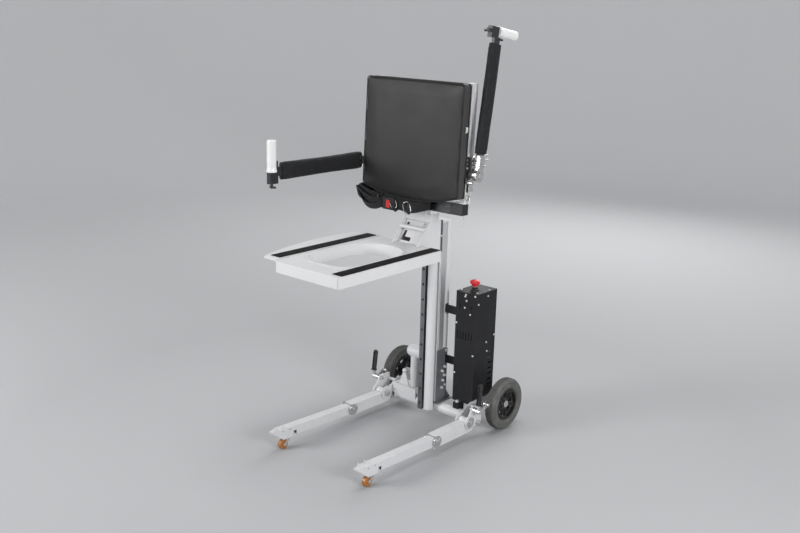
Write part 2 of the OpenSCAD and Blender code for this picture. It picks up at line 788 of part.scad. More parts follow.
module opening_plan(grow = 0) {
    mid_y = opening_rear - opening_r;
    front_r = 84;
    translate([opening_x, mid_y]) circle(r = opening_r + grow, $fn = 72);
    translate([opening_x, (mid_y + opening_front) / 2])
        round_rect(2 * (opening_r + grow), mid_y - opening_front + 2 * grow, front_r + grow);
    translate([opening_x - opening_r - grow, mid_y - 90]) square([2 * (opening_r + grow), 90]);
}

module seat_panel() color("white") from_datum() {
    difference() {
        union() {
            translate([0, 0, seat_bottom]) linear_extrude(seat_skirt) seat_plan();
            translate([0, 0, seat_top]) linear_extrude(2.5) intersection() {
                opening_plan(9);
                translate([-200, -800]) square([302.8, 600]);
            }
        }
        // hollow underside
        translate([0, 0, seat_bottom - 1]) linear_extrude(seat_skirt - 2) difference() {
            seat_plan(3);
            opening_plan(3);
            // rear box over the carriage base
            translate([-carr_half - 4, -300]) square([2 * carr_half + 8, 60]);
        }
        translate([0, 0, seat_bottom - 1]) linear_extrude(seat_skirt + 10) opening_plan();
        // seams where the skirt's folded sheets meet at the front corners
        for (s = [-1, 1]) mirrored(s)
            block([seat_w / 2 - seam_in - 1.4, -seat_front - 1, seat_bottom - 1],
                  [seat_w / 2 - seam_in, -seat_front + 1.4, seat_top - 6]);
        // room for the carriage's side plates and web
        for (s = [-1, 1]) mirrored(s)
            block([carr_half - sheet - 0.5, -283.5, seat_bottom - 1], [carr_half + 0.5, -240, seat_top + 1]);
        block([-carr_half, -260, seat_bottom - 1], [carr_half, -240, seat_top + 1]);
    }
    // hinge knuckles and pin of the flap, and the two tabs it rests on
    translate([flap_axis_x, 0, flap_axis_z]) {
        ycyl(flap_pin_r, -700, -290);
        for (y = [-700, -500, -330]) translate([0, y, 0]) {
            ycyl(knuckle_r, 0, 40);
            translate([0, 0, -knuckle_r]) cube([7, 40, 5]);
        }
    }
    for (y = [-640, -400]) block([-190, y, seat_top - flap_t - 4], [-148, y + 24, seat_top - flap_t]);
}

module seat_strip() color("#1b1b1b") from_datum() {
    block([103, -756, seat_top], [145, seat_rear - 3, seat_top + strip_t]);
    for (y = [-748, -264]) translate([124, y, seat_top + strip_t]) cylinder(r = 2.6, h = 1);
}

module flap_plan(inset = 0) intersection() {
    translate([flap_edge_x + flap_edge_r, -435]) circle(r = flap_edge_r - inset, $fn = 360);
    union() {
        translate([-222, -289]) circle(r = 52 - inset);
        translate([-222, -700]) circle(r = 56 - inset);
        translate([-290, -700]) square([130, 411]);
        translate([-222, -756 + inset]) square([62, 519 - 2 * inset]);
    }
    translate([flap_edge_x, -760]) square([flap_axis_x - 6 - flap_edge_x, 530]);
}

module seat_flap() color("white") from_datum() difference() {
    union() {
        translate([0, 0, seat_top - flap_t]) linear_extrude(flap_t) flap_plan();
        for (y = [-655, -455]) translate([flap_axis_x, y, flap_axis_z]) {
            ycyl(knuckle_r, 0, 100);
            translate([-8, 0, -3]) cube([8, 100, 5]);
        }
    }
    translate([flap_axis_x, 0, flap_axis_z]) ycyl(flap_pin_r + run_gap, -760, -200);
    // hollow between the tabs
    translate([0, 0, seat_top - flap_t - 1]) linear_extrude(flap_t - 2) intersection() {
        flap_plan(5);
        translate([-290, -612]) square([118, 196]);
    }
}

module flap_strip() color("#1b1b1b") from_datum() {
    block([-211, -735, seat_top], [-167, -252, seat_top + strip_t]);
    for (y = [-727, -260]) translate([-189, y, seat_top + strip_t]) cylinder(r = 2.6, h = 1);
}

// ---------- backrest ----------
module back_place() from_datum() translate([0, back_y, back_z]) rotate([-back_lean, 0, 0]) children();

// The pad's outline: a square top with small round corners over a shallow curved lower edge
module pad_plan(w, h, sag) {
    bow_r = (pow(w / 2, 2) + sag * sag) / (2 * sag);
    top_r = 14;
    translate([-w / 2, 0]) square([w, h - top_r]);
    translate([-w / 2 + top_r, 0]) square([w - 2 * top_r, h]);
    for (s = [-1, 1]) translate([s * (w / 2 - top_r), h - top_r]) circle(r = top_r);
    intersection() {
        translate([0, bow_r - sag]) circle(r = bow_r, $fn = 180);
        translate([-w / 2, -sag]) square([w, sag + 1]);
    }
}

module backrest_pad() color("#3b3739") back_place() slab_y(0, pad_t) pad_plan(pad_w, pad_h, pad_sag);

module backrest_board() color("#232325") back_place() slab_y(pad_t + 2, pad_t + 2 + board_t)
    pad_plan(pad_w - 20, pad_h - 8, pad_sag - 6);

module back_frame() color("silver") back_place() {
    translate([0, 0, -44]) {
        difference() {
            block([-158, rail_y0, -21], [158, rail_y0 + 26, 21]);
            for (z = [-8, 8]) block([-160, rail_y0 - 1, z - 2], [160, rail_y0 + 2, z + 2]);
            block([-160, rail_y0 + 4, -16], [160, rail_y0 + 22, 16]);
        }
        for (s = [-1, 1]) mirrored(s) {
            block([158, rail_y0 - 2, -20], [210, rail_y0 + 32, 22]);
            translate([204, rail_y0 + 10, -62]) cylinder(r = 3.5, h = 42);
        }
    }
}

module back_uprights() color("white") back_place() for (s = [-1, 1]) mirrored(s) difference() {
    block([upright_x - upright_w / 2, rail_y0, -22], [upright_x + upright_w / 2, rail_y0 + upright_d, pad_h]);
    block([upright_x + upright_w / 2 - 4, rail_y0 + 10, -20],
          [upright_x + upright_w / 2 + 1, rail_y0 + 20, pad_h + 1]);
}

// Seen from above, the belt runs round the front of the pad's lower edge and back to the frame
module belt_path() {
    translate([-212, -284]) difference() {
        circle(r = 16);
        circle(r = 12.5);
        translate([0, -20]) square([40, 40]);
        translate([-20, 0]) square([40, 20]);
    }
    translate([-228, -285]) square([3.5, 61.5]);
    translate([-228, -227]) square([9.8, 3.5]);
    translate([-213, -300]) square([262, 3.5]);
    translate([48, -284]) difference() {
        circle(r = 16);
        circle(r = 12.5);
        translate([-40, -20]) square([40, 40]);
        translate([-20, 0]) square([40, 20]);
    }
    translate([60.5, -285]) square([3.5, 58]);
}

module hip_belt() color("#121212") from_datum() intersection() {
    translate([0, 0, 800]) linear_extrude(160) belt_path();
    slab_y(-400, -100) difference() {
        translate([0, 1686]) circle(r = 831, $fn = 240);
        translate([0, 1686]) circle(r = 796, $fn = 240);
        translate([-900, 1300]) square([1800, 1400]);
    }
}

module belt_buckle() color("#17171a") from_datum() translate([-58, -300, 876]) difference() {
    block([-26, -13, -22], [26, 0, 22]);
    block([-9, -20, -15], [9, -6, 13]);
}

module buckle_button() color("#b01c2e") from_datum() translate([-58, -300, 876])
    block([-8.6, -15, -14.6], [8.6, -9.5, 12.6]);

// ---------- arms ----------
module arm_place(side) from_datum() mirrored(side) translate([0, arm_pivot_y, arm_pivot_z])
    rotate([side > 0 ? -arm_raised : 0, 0, 0]) children();

module arm_brackets() color("lightgray") for (side = [-1, 1]) {
    clamp_x = upright_x + upright_w / 2 + 0.02;
    from_datum() mirrored(side) {
        translate([0, arm_pivot_y, arm_pivot_z]) {
            // pivot pin with its washer and cap
            xcyl(8, clamp_x, arm_x + 12);
            xcyl(20, clamp_x, arm_x - 11.5);
            hex_x(12, arm_x + 9.5, arm_x + 17);
            // peg the arm rests on
            translate([0, -31, -23]) xcyl(5, clamp_x + 16, arm_x + 4);
            slab_x(clamp_x + 14, clamp_x + 20) polygon([[-14, -8], [-37, -24], [-31, -30], [4, -14]]);
            // ribbed clamp on the upright
            for (z = [12, 26, 40, 54]) block([clamp_x, -15, z], [arm_x - 13, 46, z + 8]);
            block([clamp_x, -11, 8], [clamp_x + 16, 40, 62]);
            // clamp bolts pointing to the rear
            for (p = [[0, 58, 96], [6, 22, 74], [12, 44, 84]]) translate([clamp_x + 8 + p[0], 0, p[1]]) {
                ycyl(3, 30, p[2]);
                ycyl(5.5, 46, 52);
            }
        }
    }
    // latch block and ring lower down
    back_place() mirrored(side) {
        block([clamp_x, rail_y0 + 2, 22], [clamp_x + 11, rail_y0 + 28, 66]);
        translate([clamp_x + 4, rail_y0 + 13, 0]) rotate([0, 90, 0])
            rotate_extrude() translate([9, 0]) circle(r = 2.6, $fn = 24);
        translate([0, rail_y0 + 13, 12]) xcyl(3.5, clamp_x, clamp_x + 7);
        block([clamp_x + 1, rail_y0 + 10, 8], [clamp_x + 7, rail_y0 + 16, 24]);
    }
}

module arm(side) color("#26282b") arm_place(side) {
    difference() {
        union() {
            xcyl(23, arm_x - 11, arm_x + 9);
            block([arm_x - arm_bar_t / 2, -arm_len + handle_r + 3, -arm_bar_h / 2],
                  [arm_x + arm_bar_t / 2, 0, arm_bar_h / 2]);
            // ribbed knuckle between the pivot and the sleeve
            block([arm_x - 9, 2 - sleeve_start, -arm_bar_h / 2], [arm_x + 9, -14, arm_bar_h / 2]);
            for (i = [0:3]) block([arm_x - 11, -32 - 10 * i, -arm_bar_h / 2],
                                  [arm_x + 12, -26 - 10 * i, arm_bar_h / 2]);
        }
        xcyl(8 + run_gap, arm_x - 40, arm_x + 40);
    }
    // handle bracket, rod and bolts
    block([arm_x - 9, -arm_len - 14, -40], [arm_x + 9, -arm_len + 22, 0]);
    translate([arm_x, -arm_len, -56]) cylinder(r = 4.5, h = 56 + handle_h - 8);
    for (p = [[-6, -34], [4, -52]]) translate([0, -arm_len + p[0], p[1]])
        xcyl(4, arm_x - 13, arm_x + 13);
    translate([arm_x, -arm_len + 24, arm_bar_h / 2 - 1]) cylinder(r = 4, h = 22);
}

module arm_sleeve(side) color("#17181b") arm_place(side) difference() {
    translate([arm_x, 0, 0]) rotate([90, 0, 0]) translate([0, 0, sleeve_start])
        linear_extrude(sleeve_end - sleeve_start) round_rect(sleeve_t, sleeve_h, 10);
    block([arm_x - arm_bar_t / 2, -500, -arm_bar_h / 2], [arm_x + arm_bar_t / 2, 0, arm_bar_h / 2]);
}

module arm_handle(side) color("white") arm_place(side) translate([arm_x, -arm_len, 0])
    rotate_extrude() difference() {
        union() {
            translate([0, 0.5]) square([handle_r, handle_h - 8]);
            translate([0, handle_h - 8]) square([handle_r - 6, 6]);
            translate([handle_r - 6, handle_h - 8]) circle(r = 6);
            translate([0, 0.5]) polygon([
                [0, 0], [handle_r + 2, 0], [handle_r + 2, 4], [handle_r, 14], [0, 14]
            ]);
        }
        translate([-20, -20]) square([24.5, 20 + handle_h - 8]);
        translate([-40, -20]) square([40, 200]);
    }

// ---------- output ----------
cross_beam();
side_bracket(-1);  // side_bracket_left
side_bracket(1);  // side_bracket_right
axles_and_pivots();
mast_extrusion();
mast_cover();
linear_rail();
rail_screws();
guide_column();
mast_foot();
bright_bolts();
lift_motor();
spindle_bearings();
lift_spindle();
power_box();
box_cover();
battery_pack();
stop_switch_base();
stop_button();
tyre(-1);  // tyre_left
tyre(1);  // tyre_right
wheel_hub(-1);  // wheel_hub_left
wheel_hub(1);  // wheel_hub_right
brake_lever(-1);  // brake_lever_left
brake_lever(1);  // brake_lever_right
brake_grip(-1);  // brake_grip_left
brake_grip(1);  // brake_grip_right
leg_rear(-1);  // leg_rear_left
leg_rear(1);  // leg_rear_right
leg_front(-1);  // leg_front_left
leg_front(1);  // leg_front_right
leg_hinge(-1);  // leg_hinge_left
leg_hinge(1);  // leg_hinge_right
leg_knob(-1);  // leg_knob_left
leg_knob(1);  // leg_knob_right
caster_fork(-1);  // caster_fork_left
caster_fork(1);  // caster_fork_right
caster_wheel(-1);  // caster_wheel_left
caster_wheel(1);  // caster_wheel_right
carriage_frame();
guide_blocks();
spindle_nut();
seat_panel();
seat_strip();
seat_flap();
flap_strip();
back_frame();
back_uprights();
backrest_board();
backrest_pad();
hip_belt();
belt_buckle();
buckle_button();
arm_brackets();
arm(-1);  // arm_left
arm(1);  // arm_right
arm_sleeve(-1);  // arm_sleeve_left
arm_sleeve(1);  // arm_sleeve_right
arm_handle(-1);  // arm_handle_left
arm_handle(1);  // arm_handle_right
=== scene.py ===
# Looks of a sit to stand lift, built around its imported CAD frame: procedural materials for the
# rigid parts, and modelled soft pieces for the backrest pad, the arm sleeves and the hip belt.
# Everything is in metres in the row's frame. Places given in millimetres are measured from the
# part's datum, on the floor just ahead of the rear axle, as in the part's own source.
import json
import math

import bpy
from mathutils import Matrix, Vector, kdtree, noise


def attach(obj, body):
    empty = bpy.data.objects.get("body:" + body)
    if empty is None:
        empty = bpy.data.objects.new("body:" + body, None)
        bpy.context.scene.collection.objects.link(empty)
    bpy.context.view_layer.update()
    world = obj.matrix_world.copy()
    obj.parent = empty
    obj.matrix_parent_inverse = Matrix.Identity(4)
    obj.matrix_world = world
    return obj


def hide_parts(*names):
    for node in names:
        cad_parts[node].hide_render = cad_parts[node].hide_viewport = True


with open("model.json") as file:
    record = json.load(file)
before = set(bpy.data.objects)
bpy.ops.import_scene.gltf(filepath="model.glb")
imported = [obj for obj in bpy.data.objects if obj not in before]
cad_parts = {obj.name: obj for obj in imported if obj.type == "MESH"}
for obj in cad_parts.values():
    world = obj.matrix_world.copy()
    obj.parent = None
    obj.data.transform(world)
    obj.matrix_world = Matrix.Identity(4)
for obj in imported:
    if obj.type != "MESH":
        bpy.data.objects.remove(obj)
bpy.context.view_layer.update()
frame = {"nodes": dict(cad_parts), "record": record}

scene = bpy.context.scene
scene.view_settings.view_transform = "Standard"

DATUM_Y = 0.32525
MID_HEIGHT = Vector((0, 0, 0.75))  # the point that the lights face
UPWARD = Vector((0, 0, 1))


def at(x, y, z):
    """A point given in millimetres from the datum, in the row's frame."""
    return Vector((x / 1000, y / 1000 + DATUM_Y, z / 1000))


ARM_X, ARM_PIVOT = 0.253, at(0, -205, 1005)


# ---------- camera, floor and light ----------
def turned(azimuth, pitch, roll):
    """Rotation of a camera that looks along azimuth (0 is +Y) and pitch, rolled about that line."""
    az, up_angle, twist = (math.radians(a) for a in (azimuth, pitch, roll))
    flat = math.cos(up_angle)
    forward = Vector((-math.sin(az) * flat, math.cos(az) * flat, math.sin(up_angle)))
    level = Vector((math.cos(az), math.sin(az), 0))
    upright = level.cross(forward)
    right = level * math.cos(twist) + upright * math.sin(twist)
    up = upright * math.cos(twist) - level * math.sin(twist)
    return Matrix((right, up, -forward)).transposed()


def add_camera():
    data = bpy.data.cameras.new("camera")
    data.sensor_width = 36
    data.lens = 44.08
    data.clip_end = 60
    camera = bpy.data.objects.new("camera", data)
    place = Matrix.Translation((2.2255, -2.5680, 1.5647))
    camera.matrix_world = place @ turned(40.70, -14.97, 1.49).to_4x4()
    scene.collection.objects.link(camera)
    scene.camera = camera


def add_softbox(name, place, size, power):
    data = bpy.data.lights.new(name, "AREA")
    data.shape = "DISK"
    data.size = size
    data.energy = power
    light = bpy.data.objects.new(name, data)
    light.location = place
    line = MID_HEIGHT - Vector(place)
    light.rotation_euler = line.to_track_quat("-Z", "Y").to_euler()
    light.visible_camera = False
    scene.collection.objects.link(light)


def add_world():
    world = bpy.data.worlds.new("studio")
    world.use_nodes = True
    background = world.node_tree.nodes["Background"]
    background.inputs["Color"].default_value = (0.86, 0.88, 0.90, 1)
    background.inputs["Strength"].default_value = 0.36
    scene.world = world


# ---------- material tools ----------
class Look:
    """A material in the making: short ways to add nodes around one Principled shader."""

    def __init__(self, name):
        self.material = bpy.data.materials.new(name)
        self.material.use_nodes = True
        self.tree = self.material.node_tree
        self.shader = self.tree.nodes["Principled BSDF"]
        self.place = self.node("ShaderNodeTexCoord").outputs["Object"]

    def node(self, kind, **settings):
        made = self.tree.nodes.new(kind)
        for key, value in settings.items():
            setattr(made, key, value)
        return made

    def feed(self, socket, value):
        if isinstance(value, bpy.types.NodeSocket):
            self.tree.links.new(value, socket)
        elif hasattr(value, "__len__") and len(value) == 3 and socket.type == "RGBA":
            socket.default_value = (*value, 1)
        else:
            socket.default_value = value

    def set(self, **inputs):
        for key, value in inputs.items():
            self.feed(self.shader.inputs[key.replace("_", " ").title().replace("Ior", "IOR")], value)

    def math(self, operation, a, b=0.0, clamp=False):
        made = self.node("ShaderNodeMath", operation=operation, use_clamp=clamp)
        self.feed(made.inputs[0], a)
        self.feed(made.inputs[1], b)
        return made.outputs[0]

    def span(self, value, low, high, to_low=0.0, to_high=1.0):
        made = self.node("ShaderNodeMapRange")
        for index, item in enumerate((value, low, high, to_low, to_high)):
            self.feed(made.inputs[index], item)
        return made.outputs[0]

    def mix(self, factor, a, b):
        made = self.node("ShaderNodeMix", data_type="RGBA")
        self.feed(made.inputs[0], factor)
        self.feed(made.inputs[6], a)
        self.feed(made.inputs[7], b)
        return made.outputs[2]

    def stretched(self, place, stretch):
        made = self.node("ShaderNodeMapping")
        self.feed(made.inputs["Vector"], place)
        made.inputs["Scale"].default_value = stretch
        return made.outputs[0]

    def noise(self, scale, detail=3.0, stretch=None, place=None, rough=0.55):
        made = self.node("ShaderNodeTexNoise")
        source = place or self.place
        self.feed(made.inputs["Vector"], self.stretched(source, stretch) if stretch else source)
        made.inputs["Scale"].default_value = scale
        made.inputs["Detail"].default_value = detail
        made.inputs["Roughness"].default_value = rough
        return made.outputs["Fac"]

    def cells(self, scale, feature="F1"):
        made = self.node("ShaderNodeTexVoronoi", feature=feature)
        self.feed(made.inputs["Vector"], self.place)
        made.inputs["Scale"].default_value = scale
        return made.outputs["Distance"]

    def height(self, axis):
        made = self.node("ShaderNodeSeparateXYZ")
        self.feed(made.inputs[0], self.place)
        return made.outputs[axis]

    def soft_edges(self, radius):
        """A normal that rounds the sharp edges, and a mask that is 1 along them."""
        bevel = self.node("ShaderNodeBevel", samples=4)
        bevel.inputs["Radius"].default_value = radius
        flat = self.node("ShaderNodeNewGeometry").outputs["Normal"]
        dot = self.node("ShaderNodeVectorMath", operation="DOT_PRODUCT")
        self.feed(dot.inputs[0], bevel.outputs[0])
        self.feed(dot.inputs[1], flat)
        return bevel.outputs[0], self.span(dot.outputs["Value"], 0.985, 0.80)

    def crevice_shade(self, reach):
        """A mask from ambient occlusion that is 1 in joints and inner corners, where light hardly falls,
        used for painted shade there.
        """
        made = self.node("ShaderNodeAmbientOcclusion", samples=6)
        made.inputs["Distance"].default_value = reach
        return self.span(made.outputs["AO"], 0.72, 0.30)

    def distance(self, centre, axes):
        """How far a point is from centre, counting only the axes that are 1."""
        away = self.node("ShaderNodeVectorMath", operation="SUBTRACT")
        self.feed(away.inputs[0], self.place)
        away.inputs[1].default_value = centre
        flat = self.node("ShaderNodeVectorMath", operation="MULTIPLY")
        self.feed(flat.inputs[0], away.outputs[0])
        flat.inputs[1].default_value = axes
        length = self.node("ShaderNodeVectorMath", operation="LENGTH")
        self.feed(length.inputs[0], flat.outputs[0])
        return length.outputs["Value"]

    def bump(self, height, strength, distance, normal=None):
        made = self.node("ShaderNodeBump")
        made.inputs["Strength"].default_value = strength
        made.inputs["Distance"].default_value = distance
        self.feed(made.inputs["Height"], height)
        if normal is not None:
            self.feed(made.inputs["Normal"], normal)
        return made.outputs[0]


RING_TURN = 1250.0  # radians of a tyre's ring pattern for each metre outwards, one ring in 5 mm
KNIT_TURN = 2600.0  # the same for the courses of the sleeves' knitted skin, one in 2.4 mm
WEAVE_PITCH = 0.0016  # the length of one herringbone thread


def shade(colour, factor):
    return tuple(min(1.0, c * factor) for c in colour)


def coated(name, colour, rough, grain=700.0, peel=0.12, mottle=0.05, worn=(0.42, 0.42, 0.41),
           wear=0.35, grime_and_shade=0.25, flecks=0.0, metallic=0.0, shine=0.5, bare=None):
    """Powder coat or moulded plastic: a fine skin, slight mottling, rubbed edges, a little grime and
    painted shade in joints and inner corners.
    bare gives a centre and radius, about an X axis, inside which the metal is plated, not painted."""
    look = Look(name)
    normal, edges = look.soft_edges(0.0012)
    drift = look.noise(9.0, 4.0)
    base = look.mix(drift, shade(colour, 1 - mottle), shade(colour, 1 + mottle))
    # dust and grime gather low down and in slow patches
    low = look.span(look.height(2), 0.0, 0.22, 1.0, 0.12)
    patches = look.span(look.noise(38.0, 8.0, rough=0.68), 0.44, 0.86)
    dirt_and_shade = look.math("MULTIPLY", look.math("MULTIPLY", low, patches), grime_and_shade)
    # painted shade: joints and inner corners are darkened by ambient occlusion, in the same colour as
    # the dust
    crevice_shade = look.crevice_shade(0.009)
    dirt_and_shade = look.math("MAXIMUM", dirt_and_shade, look.math("MULTIPLY", crevice_shade, 0.45 + grime_and_shade))
    base = look.mix(dirt_and_shade, base, (0.34, 0.325, 0.30))
    # edges rubbed through in short stretches
    rubs = look.span(look.noise(160.0, 3.0), 0.50, 0.62)
    rubbed = look.math("MULTIPLY", look.math("MULTIPLY", edges, rubs), wear)
    base = look.mix(rubbed, base, worn)
    if flecks:
        specks = look.span(look.cells(1500.0), 0.16, 0.05)
        base = look.mix(look.math("MULTIPLY", specks, flecks), base, (0.35, 0.35, 0.36))
    scratches = look.span(look.noise(90.0, 2.0, stretch=(1, 1, 14)), 0.66, 0.72)
    gloss = look.math("ADD", look.span(look.noise(18.0, 3.0), 0.3, 0.7, rough - 0.06, rough + 0.08),
                      look.math("MULTIPLY", scratches, 0.10))
    skin = look.math("ADD", look.noise(grain, 2.0), look.math("MULTIPLY", scratches, -0.12))
    gloss = look.math("ADD", gloss, look.math("MULTIPLY", dirt_and_shade, 0.5), True)
    if bare:
        plated = look.math("LESS_THAN", look.distance(bare[0], (0, 1, 1)), bare[1])
        plating = look.mix(look.noise(60.0), (0.60, 0.60, 0.59), (0.80, 0.80, 0.79))
        base = look.mix(plated, base, plating)
        metallic = plated
        gloss = look.math("SUBTRACT", gloss, look.math("MULTIPLY", plated, 0.12))
    look.set(base_color=base, roughness=gloss, metallic=metallic, specular_ior_level=shine,
             normal=look.bump(skin, peel, 0.0005, normal))
    return look.material


def bare_metal(name, colour, rough, brush=(1, 1, 1), lines=0.25, tarnish=0.25, ends=None):
    """Plated, anodised or ground metal, brushed along the axis whose stretch is smallest. ends gives
    the X beyond which the metal turns pale, and the Z above which it is there a dark moulded block."""
    look = Look(name)
    normal, edges = look.soft_edges(0.0008)
    drawn = look.noise(240.0, 4.0, stretch=brush)
    clouds = look.span(look.noise(34.0, 5.0), 0.42, 0.75)
    base = look.mix(look.math("MULTIPLY", clouds, tarnish), colour, shade(colour, 0.45))
    # painted highlight: the sharp edges are painted lighter
    base = look.mix(look.math("MULTIPLY", edges, 0.5), base, shade(colour, 1.35))
    spread = look.span(drawn, 0.3, 0.7, rough - 0.07, rough + 0.12)
    metallic = 1.0
    if ends:
        beyond = look.math("GREATER_THAN", look.math("ABSOLUTE", look.height(0)), ends[0])
        block = look.math("MULTIPLY", beyond, look.math("GREATER_THAN", look.height(2), ends[1]))
        base = look.mix(beyond, base, (0.78, 0.78, 0.77))
        base = look.mix(block, base, look.mix(drawn, (0.008, 0.008, 0.009), (0.018, 0.018, 0.019)))
        metallic = look.math("SUBTRACT", 1.0, block)
        spread = look.math("ADD", spread, look.math("MULTIPLY", block, 0.12))
    look.set(base_color=base, metallic=metallic,
             roughness=look.math("ADD", spread, look.math("MULTIPLY", clouds, 0.10), True),
             normal=look.bump(drawn, lines, 0.0003, normal))
    return look.material


def rubbery(name, colour, rough, dust, rings=None):
    """Rubber and elastomer: matt, finely pitted, with dust worn into it. rings gives a centre about
    which fine raised rings run, about an X axis."""
    look = Look(name)
    normal, edges = look.soft_edges(0.0015)
    patches = look.span(look.noise(45.0, 5.0), 0.42, 0.70)
    base = look.mix(look.noise(14.0, 3.0), shade(colour, 0.85), shade(colour, 1.15))
    base = look.mix(look.math("MULTIPLY", patches, dust), base, (0.45, 0.43, 0.40))
    # painted highlight: the sharp edges are painted lighter
    base = look.mix(look.math("MULTIPLY", edges, 0.25), base, shade(colour, 1.6))
    pits = look.math("ADD", look.noise(900.0, 3.0), look.math("MULTIPLY", look.cells(540.0), 0.5))
    if rings:
        away = look.distance(rings, (0, 1, 1))
        wave = look.math("SINE", look.math("MULTIPLY", away, RING_TURN))
        # painted shade: the grooves between the raised rings are painted darker
        base = look.mix(look.span(wave, -0.2, -0.9, 0.0, 0.6), base, shade(colour, 0.35))
        pits = look.math("ADD", pits, look.math("MULTIPLY", wave, 1.6))
    look.set(base_color=base, roughness=look.span(patches, 0, 1, rough - 0.08, rough + 0.1),
             specular_ior_level=0.35, normal=look.bump(pits, 0.35, 0.0004, normal))
    return look.material


def amber_wheel(name):
    look = Look(name)
    normal, _ = look.soft_edges(0.001)
    streaks = look.noise(120.0, 4.0)
    base = look.mix(streaks, (0.30, 0.105, 0.020), (0.48, 0.20, 0.045))
    base = look.mix(look.span(look.noise(60.0, 5.0), 0.5, 0.75, 0, 0.5), base, (0.16, 0.12, 0.09))
    look.set(base_color=base, roughness=look.span(streaks, 0.3, 0.7, 0.30, 0.45),
             subsurface_weight=0.12, subsurface_scale=0.004, coat_weight=0.15,
             normal=look.bump(look.noise(600.0), 0.15, 0.0004, normal))
    return look.material


def grip_tape(name):
    """Coarse anti-slip tape: dark grit, with painted glints on a few grains."""
    look = Look(name)
    grit = look.cells(1300.0)
    glints = look.span(look.cells(620.0), 0.14, 0.04)
    worn = look.span(look.noise(22.0, 5.0), 0.45, 0.72)
    base = look.mix(look.math("MULTIPLY", worn, 0.25), (0.007, 0.007, 0.0075), (0.05, 0.048, 0.045))
    # painted glints: a few grains are painted pale
    base = look.mix(look.math("MULTIPLY", glints, 0.35), base, (0.25, 0.25, 0.26))
    look.set(base_color=base, roughness=look.span(grit, 0.0, 0.6, 0.70, 0.95), specular_ior_level=0.2,
             normal=look.bump(grit, 0.8, 0.0006))
    return look.material


def vinyl(name, colour, upright_lines=False):
    """Upholstery vinyl: pebbled grain over soft creases, with a light sheen."""
    look = Look(name)
    pebbles = look.cells(520.0, "SMOOTH_F1")
    fine = look.noise(1500.0, 2.0)
    creases = look.noise(30.0, 4.0, stretch=(1.0, 1.0, 0.35))
    grain = look.math("ADD", look.math("MULTIPLY", pebbles, 1.1), look.math("MULTIPLY", fine, 0.35))
    if upright_lines:
        folds = look.noise(110.0, 3.0, stretch=(1.4, 1.4, 0.05))
        grain = look.math("ADD", grain, look.math("MULTIPLY", folds, 1.4))
    grain = look.math("ADD", grain, look.math("MULTIPLY", creases, 0.8))
    broad = look.noise(5.0, 3.0)
    base = look.mix(broad, shade(colour, 0.90), shade(colour, 1.12))
    base = look.mix(look.span(pebbles, 0.30, 0.62, 0.0, 0.35), base, shade(colour, 0.55))
    rubbed = look.span(look.noise(6.0, 6.0, rough=0.7), 0.40, 0.85, 0.0, 1.0)
    base = look.mix(look.math("MULTIPLY", rubbed, 0.10), base, shade(colour, 1.6))
    look.set(base_color=base, roughness=look.span(rubbed, 0.0, 1.0, 0.52, 0.42), sheen_weight=0.02,
             sheen_roughness=0.4, specular_ior_level=0.32, normal=look.bump(grain, 0.42, 0.0005))
    return look.material


def woven(name, colour):
    """Webbing: a herringbone weave laid out along the strap's own UV map, which is in metres."""
    look = Look(name)
    flat = look.node("ShaderNodeUVMap", uv_map="strap").outputs[0]
    split = look.node("ShaderNodeSeparateXYZ")
    look.feed(split.inputs[0], flat)
    across, along = split.outputs[0], split.outputs[1]
    turn = 2 * math.pi / WEAVE_PITCH
    zigzag = look.math("PINGPONG", across, WEAVE_PITCH * 3.0)
    warp = look.math("SINE", look.math("MULTIPLY", look.math("ADD", along, zigzag), turn))
    weft = look.math("SINE", look.math("MULTIPLY", across, turn * 0.75))
    threads = look.math("MULTIPLY", look.math("ADD", warp, weft), 0.5)
    fibres = look.noise(2600.0, 2.0, place=flat)
    base = look.mix(look.span(threads, -1, 1), shade(colour, 0.45), shade(colour, 1.7))
    base = look.mix(look.math("MULTIPLY", fibres, 0.25), base, shade(colour, 3.0))
    look.set(base_color=base, roughness=0.72, sheen_weight=0.10, sheen_roughness=0.45,
             specular_ior_level=0.3, normal=look.bump(look.math("ADD", threads, fibres), 0.6, 0.0004))
    return look.material


def foam(name, colour):
    """Closed-cell foam under a thin knitted skin."""
    look = Look(name)
    cells = look.cells(1100.0, "SMOOTH_F1")
    knit = look.math("SINE", look.math("MULTIPLY", look.height(2), KNIT_TURN))
    dents = look.noise(40.0, 4.0)
    base = look.mix(look.noise(12.0, 4.0), shade(colour, 0.75), shade(colour, 1.35))
    base = look.mix(look.span(cells, 0.25, 0.6, 0.0, 0.5), base, shade(colour, 0.5))
    rough = look.span(dents, 0.3, 0.7, 0.55, 0.78)
    grain = look.math("ADD", look.math("MULTIPLY", cells, 0.9), look.math("MULTIPLY", dents, 1.2))
    grain = look.math("ADD", grain, look.math("MULTIPLY", knit, 0.08))
    look.set(base_color=base, roughness=rough, sheen_weight=0.03, sheen_roughness=0.5,
             specular_ior_level=0.3, normal=look.bump(grain, 0.45, 0.0006))
    return look.material


def studio_floor(name):
    look = Look(name)
    base = look.mix(look.noise(0.6, 3.0), (0.42, 0.425, 0.435), (0.44, 0.445, 0.455))
    # painted light: the floor is painted paler away from the lift, where less light falls, so that floor
    # and wall read as one sweep
    away = look.distance((0, 0, 0), (1, 1, 1))
    base = look.mix(look.span(away, 1.4, 5.2), base, (0.76, 0.765, 0.775))
    look.set(base_color=base, roughness=0.78, normal=look.bump(look.noise(90.0), 0.05, 0.001))
    return look.material


